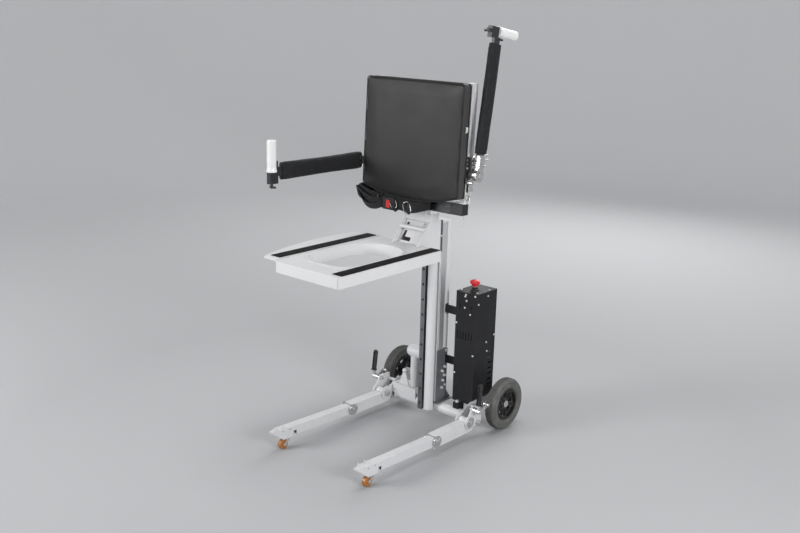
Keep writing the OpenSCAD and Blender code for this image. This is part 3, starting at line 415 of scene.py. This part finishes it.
LOOKS = {
    "white_frame": coated("white_frame", (0.66, 0.665, 0.675), 0.40),
    "white_sheet": coated("white_sheet", (0.70, 0.70, 0.705), 0.36, grain=900.0, peel=0.09, grime_and_shade=0.12),
    "grey_metal": coated("grey_metal", (0.20, 0.205, 0.22), 0.30, mottle=0.08, worn=(0.6, 0.6, 0.6),
                         metallic=0.5),
    "extrusion": bare_metal("extrusion", (0.80, 0.81, 0.82), 0.44, brush=(1, 1, 0.02), lines=0.2,
                            tarnish=0.12),
    "pad_rail": bare_metal("pad_rail", (0.075, 0.077, 0.08), 0.30, brush=(0.02, 1, 1), lines=0.2,
                           tarnish=0.12, ends=(0.158, 0.8592)),
    "bright_rail": coated("bright_rail", (0.76, 0.765, 0.77), 0.34, grain=1100.0, peel=0.06,
                          metallic=0.25, grime_and_shade=0.08),
    "rail_steel": bare_metal("rail_steel", (0.22, 0.22, 0.23), 0.32, brush=(1, 1, 0.03), lines=0.3,
                             tarnish=0.3),
    "zinc": bare_metal("zinc", (0.74, 0.74, 0.73), 0.26, lines=0.12),
    "steel_shaft": bare_metal("steel_shaft", (0.66, 0.66, 0.67), 0.16, brush=(0.02, 0.02, 1), lines=0.1),
    "bronze": bare_metal("bronze", (0.62, 0.42, 0.18), 0.30, tarnish=0.4),
    "black_box": coated("black_box", (0.009, 0.009, 0.0105), 0.50, grain=1100.0, peel=0.35, mottle=0.2,
                        shine=0.3, worn=(0.20, 0.20, 0.21), wear=0.5, grime_and_shade=0.10, flecks=0.10),
    "battery": coated("battery", (0.07, 0.085, 0.11), 0.5, grain=900.0, peel=0.25),
    "black_plastic": coated("black_plastic", (0.010, 0.010, 0.011), 0.46, grain=1200.0, peel=0.3,
                            mottle=0.15, shine=0.35, worn=(0.10, 0.10, 0.10), wear=0.5, grime_and_shade=0.12),
    "red_plastic": coated("red_plastic", (0.66, 0.018, 0.022), 0.24, grain=600.0, peel=0.05, mottle=0.08,
                          worn=(0.8, 0.2, 0.15), grime_and_shade=0.05),
    "grey_tyre": rubbery("grey_tyre", (0.12, 0.119, 0.115), 0.78, dust=0.22, rings=at(0, 22, 100)),
    "caster_tread": amber_wheel("caster_tread"),
    "grip_rubber": rubbery("grip_rubber", (0.014, 0.014, 0.014), 0.6, dust=0.08),
    "grip_tape": grip_tape("grip_tape"),
    "pad_vinyl": vinyl("pad_vinyl", (0.018, 0.016, 0.017)),
    # painted light: the boxing's vinyl is lighter than the front's, partly to stand for the side light
    # on it
    "pad_side": vinyl("pad_side", (0.055, 0.052, 0.051), upright_lines=True),
    "webbing": woven("webbing", (0.011, 0.011, 0.012)),
    "arm_foam": foam("arm_foam", (0.011, 0.0113, 0.0125)),
    "arm_steel": coated("arm_steel", (0.022, 0.023, 0.025), 0.38, mottle=0.15, worn=(0.30, 0.30, 0.31),
                        wear=0.5, grime_and_shade=0.05, shine=0.4, bare=(ARM_PIVOT, 0.0697)),
    "handle_white": coated("handle_white", (0.80, 0.80, 0.79), 0.24, grain=500.0, peel=0.05,
                           mottle=0.02, grime_and_shade=0.04, wear=0.1),
    "floor": studio_floor("studio_floor"),
}


def dress_cad_nodes():
    slots = {entry["node"]: entry["material_slot"] for entry in frame["record"]["subparts"]}
    slots.update(back_frame="pad_rail", back_uprights="bright_rail", bright_bolts="bright_rail")
    for name, obj in frame["nodes"].items():
        for material_slot in obj.material_slots:
            material_slot.material = LOOKS[slots[name]]


# ---------- mesh tools ----------
def add_mesh(name, vertices, faces, *materials):
    mesh = bpy.data.meshes.new(name)
    mesh.from_pydata([tuple(v) for v in vertices], [], faces)
    mesh.validate()
    for material in materials:
        mesh.materials.append(LOOKS[material])
    mesh.polygons.foreach_set("use_smooth", [True] * len(mesh.polygons))
    mesh.update()
    obj = bpy.data.objects.new(name, mesh)
    scene.collection.objects.link(obj)
    return obj


def bands(rows, size, closed=False):
    """Faces between neighbouring rows of size points; closed adds those from the last to the first."""
    return [(i * size + k, i * size + (k + 1) % size,
             (i + 1) % rows * size + (k + 1) % size, (i + 1) % rows * size + k)
            for i in range(rows if closed else rows - 1) for k in range(size)]


def curve_through(points, step, closed=False):
    """Points along a Catmull-Rom curve through the given ones, about a step apart."""
    points = [Vector(p) for p in points]
    count = len(points)
    result = []
    for i in range(count if closed else count - 1):
        if closed:
            a, b, c, d = (points[(i + k) % count] for k in (-1, 0, 1, 2))
        else:
            a, b, c, d = (points[min(max(i + k, 0), count - 1)] for k in (-1, 0, 1, 2))
        parts = max(1, round((c - b).length / step))
        for j in range(parts):
            t = j / parts
            result.append(0.5 * (2 * b + (c - a) * t + (2 * a - 5 * b + 4 * c - d) * t ** 2
                                 + (3 * b - a - 3 * c + d) * t ** 3))
    if not closed:
        result.append(points[-1])
    return result


def tangents(points, closed=False):
    count = len(points)
    found = []
    for i in range(count):
        before = points[(i - 1) % count] if closed else points[max(i - 1, 0)]
        after = points[(i + 1) % count] if closed else points[min(i + 1, count - 1)]
        found.append((after - before).normalized())
    return found


def sweep(name, points, section, across, material, closed=False, uv_width=None):
    """Carries a closed section along a path. A section point (s, t) lies s along the path's across
    direction and t along its normal."""
    ways = tangents(points, closed)
    vertices = []
    for point, way, side in zip(points, ways, across):
        side = (side - way * side.dot(way)).normalized()
        face = way.cross(side)
        vertices += [point + side * s + face * t for s, t in section]
    size, rows = len(section), len(points)
    faces = bands(rows, size, closed)
    if not closed:
        faces.append(tuple(range(size))[::-1])
        faces.append(tuple((rows - 1) * size + k for k in range(size)))
    obj = add_mesh(name, vertices, faces, material)
    if uv_width:
        distance = [0.0]
        for a, b in zip(points, points[1:]):
            distance.append(distance[-1] + (b - a).length)
        layer = obj.data.uv_layers.new(name="strap")
        for loop in obj.data.loops:
            row, k = divmod(loop.vertex_index, size)
            layer.data[loop.index].uv = (section[k][0] + uv_width, distance[row])
    return obj


def round_section(radius, sides=10):
    return [(radius * math.cos(2 * math.pi * k / sides), radius * math.sin(2 * math.pi * k / sides))
            for k in range(sides)]


def squarish(angle, half_a, half_b, power_a, power_b):
    """A point of a rounded oblong at angle: the powers run from 1, an ellipse, down to 0, a box."""
    c, s = math.cos(angle), math.sin(angle)
    return (half_a * abs(c) ** power_a * (1 if c > 0 else -1),
            half_b * abs(s) ** power_b * (1 if s > 0 else -1))


def strap_section(width, thick):
    """A flat webbing section with slightly thicker rolled edges."""
    half = width / 2
    top = [(-half, 0.0), (-half + 0.0006, thick * 0.55), (-half + 0.002, thick * 0.62),
           (-half + 0.004, thick * 0.5)]
    flat = [(half * f, thick * 0.5) for f in (-0.5, 0.0, 0.5)]
    upper = top + flat + [(-s, t) for s, t in reversed(top)]
    return upper + [(-s, -t) for s, t in upper[1:-1]]


def rail_across(points, upright, tilt):
    """Across directions for a strap whose width is near upright, tilted by an angle along the way."""
    ways = tangents(points)
    result = []
    for i, way in enumerate(ways):
        side = (upright - way * upright.dot(way)).normalized()
        angle = tilt(i / (len(points) - 1)) if tilt else 0.0
        result.append(Matrix.Rotation(angle, 3, way) @ side)
    return result


def finished_mesh(obj):
    """obj's mesh with its modifiers applied."""
    graph = bpy.context.evaluated_depsgraph_get()
    return bpy.data.meshes.new_from_object(obj.evaluated_get(graph), depsgraph=graph)


def voxel_copy(obj, size):
    """obj's mesh turned into an even quad mesh."""
    modifier = obj.modifiers.new("even", "REMESH")
    modifier.mode = "VOXEL"
    modifier.voxel_size = size
    modifier.use_smooth_shade = True
    mesh = finished_mesh(obj)
    obj.modifiers.remove(modifier)
    old = obj.data
    obj.data = mesh
    bpy.data.meshes.remove(old)


CLOTH_FRAMES = 20


def swell(obj, cap, held):
    """Inflates obj as cloth under pressure, lets no point move further than cap, and keeps the result.
    Points for which held(place, normal) is true are sewn fast and stay."""
    rest = [v.co.copy() for v in obj.data.vertices]
    normals = [n.vector.copy() for n in obj.data.vertex_normals]
    fast = [held(place, normal) for place, normal in zip(rest, normals)]
    group = obj.vertex_groups.new(name="sewn")
    group.add([index for index, still in enumerate(fast) if still], 1.0, "REPLACE")
    modifier = obj.modifiers.new("cloth", "CLOTH")
    settings = modifier.settings
    settings.quality = 5
    settings.mass = 0.25
    settings.tension_stiffness = 14
    settings.compression_stiffness = 14
    settings.bending_stiffness = 0.6
    settings.vertex_group_mass = group.name
    settings.use_pressure = True
    settings.uniform_pressure_force = 4.0
    settings.effector_weights.gravity = 0
    modifier.point_cache.frame_start = 1
    modifier.point_cache.frame_end = CLOTH_FRAMES
    for number in range(1, CLOTH_FRAMES + 1):
        scene.frame_set(number)
    mesh = finished_mesh(obj)
    moved = [v.co.copy() for v in mesh.vertices]
    obj.modifiers.remove(modifier)
    obj.vertex_groups.remove(group)
    scene.frame_set(1)
    for vertex, start, end in zip(obj.data.vertices, rest, moved):
        step = end - start
        vertex.co = start + step * min(1.0, cap / max(step.length, 1e-9))
    bpy.data.meshes.remove(mesh)


def relax(obj):
    """Evens out the surface a little: every point goes halfway to the middle of those beside it."""
    mesh = obj.data
    links = [[] for _ in mesh.vertices]
    for edge in mesh.edges:
        a, b = edge.vertices
        links[a].append(b)
        links[b].append(a)
    places = [v.co.copy() for v in mesh.vertices]
    for vertex, near in zip(mesh.vertices, links):
        mean = sum((places[k] for k in near), Vector()) / len(near)
        vertex.co = places[vertex.index].lerp(mean, 0.5)


def pinch(obj, seam, centre, reach, depth):
    """Draws the surface in along a seam: points nearer than reach move towards centre."""
    tree = kdtree.KDTree(len(seam))
    for index, point in enumerate(seam):
        tree.insert(point, index)
    tree.balance()
    for vertex in obj.data.vertices:
        _, _, distance = tree.find(vertex.co)
        if distance < reach:
            fall = 1 - distance / reach
            way = centre - vertex.co
            vertex.co += way.normalized() * depth * fall * fall * (3 - 2 * fall)


def finish_soft(obj):
    obj.data.polygons.foreach_set("use_smooth", [True] * len(obj.data.polygons))
    modifier = obj.modifiers.new("smooth", "SUBSURF")
    modifier.levels = modifier.render_levels = 1
    obj.data.update()


# ---------- backrest pad ----------
PAD_W, PAD_H, PAD_T, PAD_SAG = 0.446, 0.392, 0.042, 0.032
LEAN = math.radians(2.6)
BACK_ORIGIN = at(0, -274, 925)
BACK_TURN = Matrix.Rotation(-LEAN, 3, "X")


def on_back(x, y, z):
    """A point in the leaning backrest's own frame, in metres: y runs back through the pad."""
    return BACK_ORIGIN + BACK_TURN @ Vector((x, y, z))


def fillet(before, corner, after, radius):
    a, b = (before - corner).normalized(), (after - corner).normalized()
    half = math.acos(max(-1, min(1, a.dot(b)))) / 2
    trim = radius / math.tan(half)
    middle = corner + (a + b).normalized() * radius / math.sin(half)
    start, end = corner + a * trim - middle, corner + b * trim - middle
    return [middle + start.lerp(end, k / 5).normalized() * radius for k in range(6)]


def pad_outline(inset, step=0.005):
    """The pad's outline drawn in by inset, as (x, z) points about a step apart."""
    half, top = PAD_W / 2 - inset, PAD_H - inset
    bow = (PAD_W ** 2 / 4 + PAD_SAG ** 2) / (2 * PAD_SAG)
    rise = bow - PAD_SAG
    reach = bow - inset
    corner_z = rise - math.sqrt(reach ** 2 - half ** 2)
    swing = math.asin(half / reach)
    arc = [Vector((reach * math.sin(a), rise - reach * math.cos(a)))
           for a in [swing * (k / 12 - 1) for k in range(1, 24)]]
    low_left, low_right = Vector((-half, corner_z)), Vector((half, corner_z))
    high_right, high_left = Vector((half, top)), Vector((-half, top))
    round_top, round_low = max(0.014 - inset, 0.005), max(0.010 - inset, 0.004)
    rough = (fillet(high_left, low_left, arc[0], round_low) + arc
             + fillet(arc[-1], low_right, high_right, round_low)
             + fillet(low_right, high_right, high_left, round_top)
             + fillet(high_right, high_left, low_left, round_top))
    even = []
    for a, b in zip(rough, rough[1:] + rough[:1]):
        parts = max(1, round((b - a).length / step))
        even += [a.lerp(b, k / parts) for k in range(parts)]
    return even


def loft(name, rings, material):
    """A closed solid through rings of equal length, capped at both ends."""
    size = len(rings[0])
    vertices = [v for ring in rings for v in ring]
    faces = bands(len(rings), size)
    faces.append(tuple(range(size))[::-1])
    faces.append(tuple((len(rings) - 1) * size + k for k in range(size)))
    return add_mesh(name, vertices, faces, material)


def add_pad():
    cap = 0.004
    outline = pad_outline(0.0014)
    forward = BACK_TURN @ Vector((0, 1, 0))
    middle = Vector((0, PAD_H / 2))

    def ring(extra, y):
        return [on_back(p.x + way.x * extra, y, p.y + way.y * extra)
                for p, way in ((p, (middle - p).normalized()) for p in outline)]

    pad = loft("backrest_cushion", [ring(0.0012, 0.0015), ring(0, cap), ring(0, PAD_T / 2),
                                    ring(0, PAD_T - 0.0055), ring(0.0012, PAD_T - 0.003)], "pad_vinyl")
    voxel_copy(pad, 0.005)
    swell(pad, cap, lambda place, normal: abs(normal.dot(forward)) < 0.8)
    relax(pad)
    to_local = BACK_TURN.transposed()
    seam_y = (0.0025, PAD_T - 0.004)
    edge = pad_outline(0.0022, 0.004)
    seams = {y: [on_back(p.x, y, p.y) for p in edge] for y in seam_y}
    heart = on_back(0, PAD_T / 2, PAD_H / 2)
    for seam in seams.values():
        pinch(pad, seam, heart, 0.006, 0.0014)
    for vertex in pad.data.vertices:
        local = to_local @ (vertex.co - BACK_ORIGIN)
        u, w = local.x / (PAD_W / 2), (local.z - PAD_H / 2) / (PAD_H / 2)
        if local.y < PAD_T / 2:
            # a shallow crown, and soft creases that run in from the lower corners
            crown = max(0.0, 1 - u ** 4) * max(0.0, 1 - abs(w) ** 4)
            local.y -= 0.0018 * crown
            crease = noise.noise(Vector((local.x * 26 + local.z * 10, local.z * 9, 3.1)))
            near_edge = max(0.0, min(1.0, (max(abs(u), abs(w)) - 0.72) / 0.2))
            local.y += 0.0009 * crease * near_edge
        if abs(u) > 0.95 or abs(w) > 0.95:
            ripple = noise.noise(Vector((local.x * 60, local.y * 40, local.z * 34)))
            local.x += 0.0008 * ripple * (1 if u > 0 else -1)
        local.y = min(local.y, PAD_T + 0.0008)
        vertex.co = BACK_ORIGIN + BACK_TURN @ local
    # the boxing between the two seams is a separate strip of material; its lighter grey is partly
    # painted light, standing for the side light that falls on it
    pad.data.materials.clear()
    for name in ("pad_vinyl", "pad_side"):
        pad.data.materials.append(LOOKS[name])
    pad.data.update()
    for polygon in pad.data.polygons:
        depth = (to_local @ (polygon.center - BACK_ORIGIN)).y
        boxing = abs(polygon.normal.dot(forward)) < 0.75 and seam_y[0] < depth < seam_y[1]
        polygon.material_index = 1 if boxing else 0
    finish_soft(pad)
    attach(pad, "carriage")
    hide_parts("backrest_pad")
    for name, (y, seam) in zip(("front", "rear"), seams.items()):
        points = curve_through(seam, 0.004, closed=True)
        inward = [(heart - p).normalized() for p in points]
        piping = sweep("pad_piping_" + name, points, round_section(0.0019), inward, "pad_vinyl",
                       closed=True)
        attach(piping, "carriage")
    # a blank fabric tab caught in the side seam
    low = on_back(PAD_W / 2 - 0.001, 0.024, 0.226)
    path = curve_through([low + Vector((out, 0, up)) for out, up in
                          ((0, 0), (0.003, 0.004), (0.0036, 0.017), (0.0005, 0.020))], 0.002)
    tab = sweep("pad_side_tab", path, strap_section(0.012, 0.0008), [forward] * len(path),
                "handle_white")
    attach(tab, "carriage")


# ---------- arm sleeves ----------
# start and end along the arm, thickness and height; the left one is pushed up over the arm's knuckle
SLEEVE = {1: (0.071, 0.449, 0.024, 0.068), -1: (0.045, 0.449, 0.0285, 0.068)}


HEM_X, HEM_Z = 0.0016 / 0.012, 0.0014 / 0.034  # the share by which a hem draws the sleeve in


def add_sleeve(side):
    start, end, thick, tall = SLEEVE[side]
    cap = 0.0026
    name = "right" if side > 0 else "left"
    # the right arm is swung up and a little back, and the left one points forward
    turn = Matrix.Rotation(math.radians(-98.6) if side > 0 else 0.0, 3, "X")
    root = ARM_PIVOT + Vector((side * ARM_X, 0, 0))

    def place(x, y, z):
        return root + turn @ Vector((x, y, z))

    def ring(y, inset):
        points = []
        for k in range(48):
            x, z = squarish(2 * math.pi * k / 48, thick / 2 - inset, tall / 2 - inset, 2 / 3.4, 2 / 3.4)
            points.append(place(x, -y, z))
        return points

    stations = [(start + cap, 0.0040), (start + cap + 0.0015, 0.0030)]
    stations += [(start + 0.010 + (end - start - 0.020) * k / 30, cap) for k in range(31)]
    stations += [(end - cap - 0.0015, 0.0030), (end - cap, 0.0040)]
    sleeve = loft("arm_sleeve_foam_" + name, [ring(y, inset) for y, inset in stations], "arm_foam")
    voxel_copy(sleeve, 0.0042)
    back = turn.transposed()

    def at_end(point, _):
        along = -(back @ (point - ARM_PIVOT)).y
        return not start + 0.007 < along < end - 0.007

    swell(sleeve, cap, at_end)
    relax(sleeve)
    for vertex in sleeve.data.vertices:
        local = back @ (vertex.co - root)
        along = -local.y
        # hems near both ends, a lengthwise closing seam low on the outer face, and slight waves
        for hem in (start + 0.013, end - 0.013):
            near = 1 - abs(along - hem) / 0.006
            if near > 0:
                local.x *= 1 - HEM_X * near
                local.z *= 1 - HEM_Z * near
        gap = abs(local.z + 0.024 + 0.002 * math.sin(along * 30))
        if local.x * side > 0 and gap < 0.005 and start + 0.01 < along < end - 0.01:
            local.x -= side * 0.0013 * (1 - gap / 0.005)
        wave = noise.noise(Vector((along * 17, local.z * 14 + side * 4.0, local.x * 20)))
        local.x += 0.0008 * wave * (1 if local.x > 0 else -1)
        wave = noise.noise(Vector((along * 21, 5.5 * side, 1.7)))
        local.z += 0.0007 * wave * (1 if local.z > 0 else -1)
        vertex.co = root + turn @ local
    finish_soft(sleeve)
    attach(sleeve, "arm_" + name)
    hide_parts("arm_sleeve_" + name)


# ---------- hip belt ----------
def belt_piece(name, points, width=0.038, tilt=None, upright=UPWARD, replaces=()):
    path = curve_through(points, 0.004)
    strap = sweep(name, path, strap_section(width, 0.0026), rail_across(path, upright, tilt),
                  "webbing", uv_width=width / 2)
    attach(strap, "carriage")
    if replaces:
        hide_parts(*replaces)


def under_pad(x, drop, y):
    """A point below the pad's curved lower edge, in millimetres from the datum."""
    bow = 793.0
    return at(x, y, 1686 - math.sqrt((bow + drop) ** 2 - x ** 2))


def add_belt():
    # main band: round the left end of the rail, along the pad's lower edge and back to the frame
    band = [at(-214, -206, 904), at(-226, -214, 904), at(-227, -250, 905), at(-225, -282, 905)]
    band += [under_pad(x, 19 + 1.5 * math.sin(x / 23), -299 - 1.2 * math.sin(x / 31))
             for x in (-212, -180, -140, -100, -60, -20, 15, 44)]
    band += [at(59, -292, 876), at(62.5, -262, 877), at(62.5, -230, 877)]
    belt_piece("hip_belt_band", band, replaces=("hip_belt",))
    # a second layer, slacker, that carries the buckle
    layer = [at(-228, -255, 899), at(-230, -286, 898)]
    layer += [under_pad(x, drop, y) for x, drop, y in
              ((-214, 22, -306), (-180, 27, -312), (-140, 31, -314), (-105, 27, -308), (-82, 22, -304))]
    belt_piece("hip_belt_layer", layer, tilt=lambda t: 0.35 * math.sin(math.pi * t))
    # the loose end: a slack loop below the band
    sag = [under_pad(-206, 18, -310), at(-192, -315, 886), at(-172, -318, 868), at(-148, -318, 857),
           at(-120, -315, 858), at(-100, -311, 866), at(-84, -306, 874)]
    belt_piece("hip_belt_slack", sag, width=0.025, tilt=lambda t: 0.9 - 0.6 * t)
    # short ends that hang through the two steel rings
    for name, x in (("left", -38), ("right", 24)):
        end = [under_pad(x - 8, 6, -304), at(x - 2, -306, 880), at(x + 8, -308, 864),
               at(x + 19, -306, 855)]
        belt_piece("hip_belt_end_" + name, end, width=0.022, upright=Vector((0, 1, 0)),
                   tilt=lambda t: 0.35)
    tail = [at(-228, -236, 896), at(-236, -226, 880), at(-240, -214, 862), at(-238, -204, 846)]
    belt_piece("hip_belt_tail", tail, width=0.036, upright=Vector((0, 1, 0.3)))


def add_ring(name, centre, wide, tall, lean):
    """An oblong steel ring that hangs from the belt."""
    turn = Matrix.Rotation(lean, 3, "Y") @ Matrix.Rotation(0.35, 3, "Z")
    path = []
    for k in range(40):
        x, z = squarish(2 * math.pi * k / 40, wide / 2, tall / 2, 0.7, 0.7)
        path.append(centre + turn @ Vector((x, 0, z)))
    across = [Vector((0, 1, 0))] * len(path)
    ring = sweep(name, path, round_section(0.0017, 8), across, "zinc", closed=True)
    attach(ring, "carriage")


def add_keeper(name, centre, wide, tall, deep):
    """A rounded plastic slide through which the webbing runs."""
    path = [centre + Vector((0, *squarish(2 * math.pi * k / 48, deep / 2, tall / 2, 0.55, 0.45)))
            for k in range(48)]
    section = [squarish(2 * math.pi * k / 16, wide / 2, 0.002, 0.5, 0.6) for k in range(16)]
    across = [Vector((1, 0, 0))] * len(path)
    keeper = sweep(name, path, section, across, "black_plastic", closed=True)
    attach(keeper, "carriage")


def add_floor():
    """A pale studio sweep: a round floor that curves up into a wall all round."""
    rings = [(0.001, 0.0), (1.0, 0.0), (2.5, 0.0), (4.0, 0.0), (5.0, 0.0)]
    rings += [(5 + 2 * math.sin(a), 2 - 2 * math.cos(a))
              for a in [math.pi / 2 * k / 8 for k in range(1, 9)]]
    rings.append((7.0, 6.5))
    around = 96
    angles = [2 * math.pi * k / around for k in range(around)]
    vertices = [(r * math.cos(a), r * math.sin(a), z) for r, z in rings for a in angles]
    faces = bands(len(rings), around)
    faces.append(tuple(range(around)))
    floor = add_mesh("studio_floor", vertices, faces, "floor")


add_camera()
add_world()
add_floor()
add_softbox("key", (-2.2, -3.6, 1.9), 1.6, 112)
add_softbox("side", (3.8, -0.9, 1.7), 1.4, 84)
add_softbox("rear", (-1.2, 3.8, 2.6), 2.6, 60)
add_softbox("top", (0.2, 0.2, 4.4), 2.4, 55)
dress_cad_nodes()
add_pad()
for side in (-1, 1):
    add_sleeve(side)
add_belt()
add_keeper("hip_belt_slide_left", under_pad(-112, 20, -303), 0.009, 0.044, 0.013)
add_keeper("hip_belt_slide_right", under_pad(30, 20, -301), 0.010, 0.043, 0.010)
add_ring("hip_belt_ring_left", at(-38, -308, 878), 0.022, 0.034, -0.45)
add_ring("hip_belt_ring_right", at(26, -308, 872), 0.026, 0.042, -0.30)
